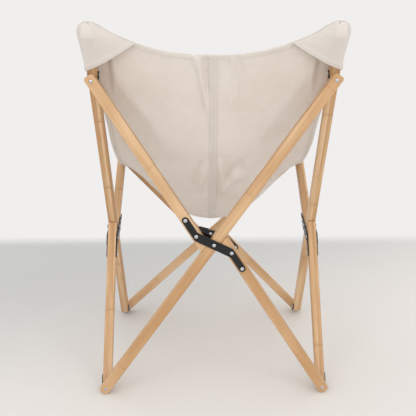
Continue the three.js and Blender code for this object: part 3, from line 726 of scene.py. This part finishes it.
def folds(across, along):
    """Height of the soft folds, which are gone where the cloth lies on the side bars."""
    height = sum(tall * ridge(across, along, *line) for tall, *line in FOLDS)
    return height * (1 - step(0.66, 0.90, np.abs(across)))


def normals_of(points):
    """Unit normals of a grid of points, towards its underside."""
    down = np.gradient(points, axis=0)
    aside = np.gradient(points, axis=1)
    normal = np.cross(down, aside)
    return normal / np.linalg.norm(normal, axis=-1, keepdims=True)


def lines_with(count, borders, gap):
    """Evenly spaced lines from 0 to 1, with a close pair at each border so that a step there stays sharp."""
    pairs = [border + sign * gap for border in borders for sign in (-1, 1)]
    even = np.linspace(0, 1, count)
    free = even[np.all(np.abs(even[:, None] - np.array(pairs)) > gap * 1.5, axis=1)]
    return np.sort(np.r_[free, pairs])


def closed_sheet(upper, lower):
    """Faces of a closed sheet from two grids of points of the same size, the second on the underside."""
    high, wide_count = upper.shape[:2]
    index = np.arange(high * wide_count).reshape(high, wide_count)
    under = index + high * wide_count

    def quads(a, b, c, d):
        return np.stack([a, b, c, d], -1).reshape(-1, 4)

    top = quads(index[:-1, :-1], index[:-1, 1:], index[1:, 1:], index[1:, :-1])
    bottom = quads(under[:-1, :-1], under[1:, :-1], under[1:, 1:], under[:-1, 1:])
    first = quads(index[0, :-1], under[0, :-1], under[0, 1:], index[0, 1:])
    last = quads(index[-1, :-1], index[-1, 1:], under[-1, 1:], under[-1, :-1])
    left = quads(index[:-1, 0], index[1:, 0], under[1:, 0], under[:-1, 0])
    right = quads(index[:-1, -1], under[:-1, -1], under[1:, -1], index[1:, -1])
    points = np.concatenate([upper.reshape(-1, 3), lower.reshape(-1, 3)])
    return points, np.concatenate([top, bottom, first, last, left, right])


def in_part(points):
    """From (x, forward, up) to the part's own axes."""
    return points * [1, -1, 1]


def soft(piece):
    """Gives the piece its own copy of its mesh."""
    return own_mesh(piece)


row_lines = lines_with(ROWS, [HEM_WIDTH / seam_length, 1 - HEM_WIDTH / seam_length], 0.0006)
column_lines = lines_with(COLUMNS, [
    HEM_WIDTH / (2 * HALF_WIDTH), 1 - HEM_WIDTH / (2 * HALF_WIDTH),
    0.5 - SEAM_HALF / (2 * HALF_WIDTH), 0.5 + SEAM_HALF / (2 * HALF_WIDTH)], 0.0010)
along_grid, across_grid = np.meshgrid(row_lines, 2 * column_lines - 1, indexing="ij")
middle_surface = hung(across_grid, along_grid)
underside = normals_of(middle_surface)
middle_surface = middle_surface - underside * folds(across_grid, along_grid)[..., None]
underside = normals_of(middle_surface)
edge_distance = np.minimum.reduce([
    (1 - np.abs(across_grid)) * HALF_WIDTH,
    along_grid * seam_length,
    (1 - along_grid) * seam_length,
])
in_hem = 1 - step(HEM_WIDTH - STEP_HALF, HEM_WIDTH + STEP_HALF, edge_distance)
seam_distance = np.abs(across_grid) * HALF_WIDTH
in_seam = 1 - step(SEAM_HALF - STEP_HALF, SEAM_HALF + STEP_HALF, seam_distance)
folded_over = HEM_THICKNESS - CANVAS_THICKNESS
sewn = sum(np.exp(-(((seam_distance - line) / SEWN_WIDTH) ** 2)) for line in SEAM_ROWS) * SEWN_DEPTH
upper_surface = middle_surface - underside * (CANVAS_THICKNESS / 2 + folded_over * in_hem - sewn / 2)[..., None]
lower_surface = middle_surface + underside * (CANVAS_THICKNESS / 2 + folded_over * in_seam - sewn)[..., None]


def canvas(name, tint=0.0, grooves=(), through=0.0):
    """Plain weave with slubs and a soft cloudiness, read from the cloth's own two directions. through is the share
    of light that enters it. grooves are (axis, distance) pairs: rows of stitches, which pull it in and along which
    the colour is darkened with painted shade."""
    finish = Finish(name)
    place = finish.node("ShaderNodeAttribute", output="Vector", attribute_name="cloth_place")
    across = finish.dot(place, (1, 0, 0))
    along = finish.dot(place, (0, 1, 0))
    thread = 2 * math.pi / THREAD_SPACING
    warp = (across * thread).maths("SINE")
    weft = (along * thread).maths("SINE")
    weave = warp * weft
    slub_warp = finish.noise(finish.vector(across * 900, along * 30, 0.0), 1.0, 2.0)
    slub_weft = finish.noise(finish.vector(across * 30, along * 900, 4.0), 1.0, 2.0)
    cloud = finish.noise(finish.vector(across * 7, along * 7, 1.0), 1.0, 4.0, 0.6)
    crumple = finish.noise(finish.vector(across * 45, along * 45, 2.0), 1.0, 3.0, 0.55)
    colour = finish.mix(finish.smooth(cloud, 0.35, 0.7), linear(*CANVAS_SHADE), linear(*CANVAS))
    colour = finish.mix(finish.smooth(slub_warp * 0.5 + slub_weft * 0.5, 0.5, 0.68) * 0.5, colour,
                        linear(*CANVAS_LIGHT))
    if tint:
        colour = finish.mix(tint, colour, linear(*CANVAS_LIGHT))
    height = weave * 0.35 + slub_warp * 0.8 + slub_weft * 0.8 + crumple * 5
    pucker = finish.noise(finish.vector(across * 130, along * 130, 3.0), 1.0, 2.0)
    for axis, distance in grooves:
        off = ((along if axis else across).maths("ABSOLUTE") - distance).maths("ABSOLUTE")
        groove_and_shade = 1 - finish.smooth(off, 0.0003, 0.0016)
        # Painted shade: the cloth is darkened along each row of stitches, standing in for the shade in its groove.
        colour = finish.mix(groove_and_shade * 0.22, colour, linear(*CANVAS_GROOVE_SHADE))
        height = height - groove_and_shade * 1.5 + (1 - finish.smooth(off, 0.0, 0.012)) * pucker * 4
    return finish.surface(
        Base_Color=colour,
        Roughness=0.88 + cloud * 0.08,
        Sheen_Weight=0.12,
        Sheen_Roughness=0.5,
        Subsurface_Weight=through,
        Subsurface_Radius=(1.0, 0.85, 0.7),
        Subsurface_Scale=0.003,
        Specular_IOR_Level=0.2,
        Normal=finish.bump(height, 0.00035, 0.6),
    )


def cloth_piece(name, upper, lower, places, material):
    """A closed sheet of canvas. places are each point's metres across and along the cloth, for its weave."""
    points, faces = closed_sheet(in_part(upper), in_part(lower))
    piece = new_piece(name, points, faces[:, ::-1], material, "base")
    attribute = piece.data.attributes.new("cloth_place", "FLOAT_VECTOR", "POINT")
    flat = np.concatenate([places, np.zeros(places.shape[:2] + (1,))], -1).reshape(-1, 3)
    attribute.data.foreach_set("vector", np.tile(flat, (2, 1)).ravel())
    return piece


canvas_finish = canvas("canvas", 0.0, [
    (0, 0.0), (0, SEAM_ROWS[1]), (0, HALF_WIDTH - HEM_STITCHES), (1, HEM_STITCHES),
    (1, seam_length - HEM_STITCHES)], through=0.4)
places = np.stack([across_grid * HALF_WIDTH, along_grid * seam_length], -1)
sling = cloth_piece("sling_canvas", upper_surface, lower_surface, places, canvas_finish)
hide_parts("sling")

# Stitches
# Some 2,650 short stitches of thick cotton thread hold the hems, the middle seam and the pockets' mouths. Each
# one is a small bead lying in the cloth.
THREAD = (236, 229, 219)
STITCH_PITCH = 0.0046
STITCH_LENGTH = 0.0036
STITCH_RADIUS = 0.00042
BEAD_SIDES = 5
BEAD_RINGS = ((-1, 0.25), (-0.62, 1), (0.62, 1), (1, 0.25))  # (place, girth) along half a bead's length

thread_finish = Finish("thread")
thread_place = thread_finish.noise(thread_finish.place(), 700.0, 2.0)
thread_finish.surface(
    Base_Color=thread_finish.mix(thread_place, linear(*CANVAS_SHADE), linear(*THREAD)),
    Roughness=0.75,
    Normal=thread_finish.bump(thread_place, 0.0001, 0.4),
)


def stitch_line(points, normal):
    """Places, ways and outward normals of the stitches along a line of points."""
    length = np.r_[0, np.cumsum(np.linalg.norm(np.diff(points, axis=0), axis=1))]
    at = np.arange(STITCH_PITCH, length[-1] - STITCH_PITCH / 2, STITCH_PITCH)

    def read(values, where):
        return np.stack([np.interp(where, length, values[:, axis]) for axis in range(3)], 1)

    way = read(points, at + STITCH_LENGTH / 2) - read(points, at - STITCH_LENGTH / 2)
    way /= np.linalg.norm(way, axis=1, keepdims=True)
    return read(points, at), way, read(normal, at)


def stitches(name, lines):
    """All stitches of a set of lines as one mesh: long beads of five sides, thickest in the middle."""
    middle, way, out = (np.concatenate(part) for part in zip(*lines))
    aside = np.cross(way, out)
    ends, girth = (np.array(column) for column in zip(*BEAD_RINGS))
    ends, girth = ends * STITCH_LENGTH / 2, girth * STITCH_RADIUS
    angle = np.arange(BEAD_SIDES) * 2 * np.pi / BEAD_SIDES
    ring = np.cos(angle)[None, :, None, None] * aside + np.sin(angle)[None, :, None, None] * out
    points = middle + ends[:, None, None, None] * way + girth[:, None, None, None] * ring
    points = points.transpose(2, 0, 1, 3)
    first = np.arange(len(middle))[:, None, None] * len(ends) * BEAD_SIDES
    row = first + np.arange(len(ends) - 1)[None, :, None] * BEAD_SIDES
    corner = np.arange(BEAD_SIDES)
    after = (corner + 1) % BEAD_SIDES
    quads = np.stack([row + corner, row + after, row + after + BEAD_SIDES, row + corner + BEAD_SIDES], -1)
    quads = quads.reshape(-1, 4)
    last = (len(ends) - 1) * BEAD_SIDES
    caps = np.concatenate([first[:, 0] + corner[None, ::-1], first[:, 0] + last + corner[None, :]])
    return new_piece(name, points, quads.tolist() + caps.tolist(), thread_finish.material, "base")


def line_on(across, along, side):
    """A line of stitches on one side of the sling: its points and outward normals."""
    column = np.interp(across, 2 * column_lines - 1, np.arange(len(column_lines)))
    row = np.interp(along, row_lines, np.arange(len(row_lines)))
    low_column = np.minimum(column.astype(int), len(column_lines) - 2)
    low_row = np.minimum(row.astype(int), len(row_lines) - 2)
    part_column, part_row = (column - low_column)[:, None], (row - low_row)[:, None]
    surface = upper_surface if side > 0 else lower_surface

    def read(values):
        near = values[low_row, low_column] * (1 - part_column) + values[low_row, low_column + 1] * part_column
        far = values[low_row + 1, low_column] * (1 - part_column)
        far = far + values[low_row + 1, low_column + 1] * part_column
        return near * (1 - part_row) + far * part_row

    return in_part(read(surface)), in_part(-side * read(underside))


even = np.linspace(0, 1, 700)
hem_share_across = 1 - HEM_STITCHES / HALF_WIDTH
hem_share_along = HEM_STITCHES / seam_length
lines = []
for side in (1, -1):
    for place in (-SEAM_ROWS[1] / HALF_WIDTH, 0.0, SEAM_ROWS[1] / HALF_WIDTH):
        lines.append(stitch_line(*line_on(np.full_like(even, place), even, side)))
    for place in (-hem_share_across, hem_share_across):
        lines.append(stitch_line(*line_on(np.full_like(even, place), even, side)))
    for place in (hem_share_along, 1 - hem_share_along):
        lines.append(stitch_line(*line_on(2 * even - 1, np.full_like(even, place), side)))
sling_stitches = stitches("sling_stitches", lines)

# Corner pockets
# A patch of canvas under each corner holds the tip of a side bar. It is stitched to the sling's hems, goes round
# the bar, and its mouth is turned over and stitched.
REAR_MOUTH_SHARE = 0.64  # inner corner of a pocket's mouth, along the hem
FRONT_MOUTH_SHARE = 0.8
POCKET_END = 0.999
POCKET_ROUND = 0.024  # length of the pocket's rounded end
POCKET_GAP = 0.0003  # between the patch and what it lies against
MOUTH_FOLD = 0.0008  # the turned-over mouth is thicker by this
MOUTH_WIDTH = 0.0112
MOUTH_ROW = 0.62  # the mouth's row of stitches, as a share of a hem's width
POCKET_ROWS = 70
POCKET_COLUMNS = 90
DOWN_COLUMN = 40  # the column along which a pocket's length is read

pocket_finish = canvas("pocket canvas", 0.35)


def spread_rows(sections, count):
    """Each row of few points becomes a smooth row of count points at equal steps."""
    return np.stack([evened(smooth_curve(row, 14), count) for row in sections])


def pocket_surface(bar, rows_from, mouth, mouth_share):
    """The patch's middle surface, from its mouth to the corner. Each row goes from the side hem under the bar to
    the end hem. rows_from turns a share from the corner into a place along the sling."""
    edge_line = hung(np.ones(600), rows_from(np.linspace(0, 0.5, 600)))
    mouth_along = np.interp(mouth, bar.along(edge_line[:, 1:])[::-1], np.linspace(0, 0.5, 600)[::-1])
    share = 1 - np.linspace(0, 1, POCKET_ROWS) * POCKET_END
    outer = hung(np.ones_like(share), rows_from(mouth_along * share))
    inner = hung(1 - (1 - mouth_share) * share, rows_from(np.zeros_like(share)))
    gap = HEM_THICKNESS + POCKET_GAP
    from_x, from_along, from_rise = outer[:, 0], bar.along(outer[:, 1:]), bar.rise(outer[:, 1:]) - gap
    to_x, to_along, to_rise = inner[:, 0], bar.along(inner[:, 1:]), bar.rise(inner[:, 1:]) - gap
    under = -(BAR_WIDTH / 2 + gap)
    bar_out, bar_in = HALF_WIDTH + BAR_DEPTH / 2, HALF_WIDTH - BAR_DEPTH / 2
    ones = np.ones_like(share)
    # places (x, rise) that a row passes: the side hem, round the bar from outside to inside, and the end hem
    section = [
        (from_x, from_rise),
        (bar_out + HEM_THICKNESS * (1.8 - 1.2 * share), 0.2 * under * ones),
        ((bar_out + HEM_THICKNESS * 0.8) * ones, under * 0.95 * ones),
        ((bar_out - HEM_THICKNESS * 0.4) * ones, under * 1.06 * ones),
        (bar_in * ones, under * 1.1 * ones),
        ((bar_in * 0.7 + to_x * 0.3), under * 0.75 + to_rise * 0.25 - 0.003),
        ((bar_in * 0.3 + to_x * 0.7), under * 0.3 + to_rise * 0.7 - 0.003),
        (to_x, to_rise),
    ]
    end_along = min(to_along[-1], from_along[-1])

    def reach(x):
        return to_along + (from_along - to_along) * (x - to_x) / (from_x - to_x)

    rows = []
    for i, (x, rise) in enumerate(section):
        part = i / (len(section) - 1)
        full = np.sqrt(1 - (1 - np.clip((end_along - reach(x)) / POCKET_ROUND, 0, 1)) ** 2)
        even_x, even_rise = from_x + (to_x - from_x) * part, from_rise + (to_rise - from_rise) * part
        at = even_x + (x - even_x) * full
        height = even_rise + (rise - even_rise) * full
        flat = bar.top + reach(at)[:, None] * bar.way + height[:, None] * bar.up
        rows.append(np.concatenate([at[:, None], flat], 1))
    return spread_rows(np.stack(rows, 1), POCKET_COLUMNS)


def mirrored(points, out):
    return points * [out, 1, 1]


pockets, pocket_lines = [], []
for side, out in (("left", 1), ("right", -1)):
    for end, bar, rows_from, mouth, mouth_share in (
            ("rear", rear_bar, lambda share: share, REAR_MOUTH, REAR_MOUTH_SHARE),
            ("front", front_bar, lambda share: 1 - share, FRONT_MOUTH, FRONT_MOUTH_SHARE)):
        surface = pocket_surface(bar, rows_from, mouth, mouth_share)
        outward = normals_of(surface)
        if (outward[5, POCKET_COLUMNS // 2] @ np.r_[0, -bar.up]) < 0:
            outward = -outward
        down = np.r_[0, np.cumsum(np.linalg.norm(np.diff(surface[:, DOWN_COLUMN], axis=0), axis=1))][:, None]
        in_mouth = 1 - step(MOUTH_WIDTH, MOUTH_WIDTH + 0.002, np.broadcast_to(down, surface.shape[:2]))
        inside = surface - outward * (CANVAS_THICKNESS / 2)
        outside = surface + outward * (CANVAS_THICKNESS / 2 + MOUTH_FOLD * in_mouth)[..., None]
        wide_places = np.broadcast_to(np.linspace(0, 0.2, POCKET_COLUMNS), surface.shape[:2])
        places = np.stack([wide_places, np.broadcast_to(down, surface.shape[:2])], -1)
        upper, lower = (mirrored(part, out) for part in (inside, outside))
        pocket = cloth_piece(f"{side}_{end}_pocket_canvas", upper, lower, places, pocket_finish)
        bpy.context.view_layer.update()
        mesh = bmesh.new()
        mesh.from_mesh(pocket.data)
        bmesh.ops.recalc_face_normals(mesh, faces=mesh.faces)
        mesh.to_mesh(pocket.data)
        mesh.free()
        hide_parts(f"{side}_{end}_pocket")
        pockets.append(pocket)
        row = int(np.searchsorted(down[:, 0], HEM_WIDTH * MOUTH_ROW))
        line = mirrored(outside[row], out)
        pocket_lines.append(stitch_line(in_part(line), in_part(mirrored(outward[row], out))))
pocket_stitches = stitches("pocket_stitches", pocket_lines)

for piece in [sling, sling_stitches, *pockets, pocket_stitches]:
    soft(piece)


# Lights and room
# A pale floor and a white wall behind it, lit by a wide soft lamp on either side of the camera and by the room.
# The floor's colour carries painted shade, darker towards the wall and to the left.
WALL = (241, 239, 238)
FLOOR = (224, 221, 218)
FLOOR_PAINTED_SHADE = (196, 197, 196)  # painted shade, towards the wall and to the left
FLOOR_FADE = 0.91  # in front of the chair the floor passes into the wall from here
FLOOR_END = 1.07
FLOOR_REACH = 6
ROOM_LIGHT = 1.17
LAMP_PLACE = (1.6, 2.8, 2.1)  # one on either side
LAMP_AIM = (0.0, 0.0, 0.5)
LAMP_SIZE = 1.8
LAMP_POWER = 17

world = bpy.data.worlds.new("room")
bpy.context.scene.world = world
world.use_nodes = True
nodes, links = world.node_tree.nodes, world.node_tree.links
nodes.clear()
light_path = nodes.new("ShaderNodeLightPath")
room = nodes.new("ShaderNodeBackground")
room.inputs["Color"].default_value = (1.0, 0.99, 0.98, 1.0)
room.inputs["Strength"].default_value = ROOM_LIGHT
seen = nodes.new("ShaderNodeBackground")
seen.inputs["Color"].default_value = linear(*WALL)
shown = nodes.new("ShaderNodeMixShader")
seen_or_mirrored = None
for ray in ("Is Camera Ray", "Is Glossy Ray", "Is Transmission Ray"):
    either = nodes.new("ShaderNodeMath")
    either.operation = "MAXIMUM"
    if seen_or_mirrored:
        links.new(seen_or_mirrored, either.inputs[0])
    links.new(light_path.outputs[ray], either.inputs[1])
    seen_or_mirrored = either.outputs[0]
links.new(seen_or_mirrored, shown.inputs[0])
links.new(room.outputs[0], shown.inputs[1])
links.new(seen.outputs[0], shown.inputs[2])
links.new(shown.outputs[0], nodes.new("ShaderNodeOutputWorld").inputs["Surface"])

for side in (1, -1):
    lamp_data = bpy.data.lights.new("soft lamp", "AREA")
    lamp_data.shape = "DISK"
    lamp_data.size = LAMP_SIZE
    lamp_data.energy = LAMP_POWER
    lamp = bpy.data.objects.new("soft lamp", lamp_data)
    lamp.location = Vector((side * LAMP_PLACE[0], *LAMP_PLACE[1:]))
    lamp.rotation_euler = (Vector(LAMP_AIM) - lamp.location).to_track_quat("-Z", "Y").to_euler()
    bpy.context.scene.collection.objects.link(lamp)

ground = bpy.data.meshes.new("floor")
ground.from_pydata([
    (-FLOOR_REACH, -FLOOR_END, 0), (FLOOR_REACH, -FLOOR_END, 0), (FLOOR_REACH, FLOOR_REACH, 0),
    (-FLOOR_REACH, FLOOR_REACH, 0)], [], [(0, 1, 2, 3)])
floor = bpy.data.objects.new("floor", ground)
bpy.context.scene.collection.objects.link(floor)
floor_finish = Finish("pale floor")
floor_place = floor_finish.place()
floor_mottle = floor_finish.noise(floor_place, 9.0, 5.0)
toward_wall = floor_finish.dot(floor_place, (0, -1, 0))
# Painted shade: the floor's colour darkens towards the wall and to the left, with a random mottle mixed in.
painted_shade_and_mottle = toward_wall + floor_finish.dot(floor_place, (0.7, 0, 0)) + floor_mottle * 0.1
floor_finish.surface(
    Base_Color=floor_finish.mix(floor_finish.smooth(painted_shade_and_mottle, -0.2, 1.1), linear(*FLOOR), linear(*FLOOR_PAINTED_SHADE)),
    Roughness=0.9,
    Alpha=1 - floor_finish.smooth(toward_wall, FLOOR_FADE, FLOOR_END),
)
ground.materials.append(floor_finish.material)

bpy.context.scene.view_settings.view_transform = "Standard"
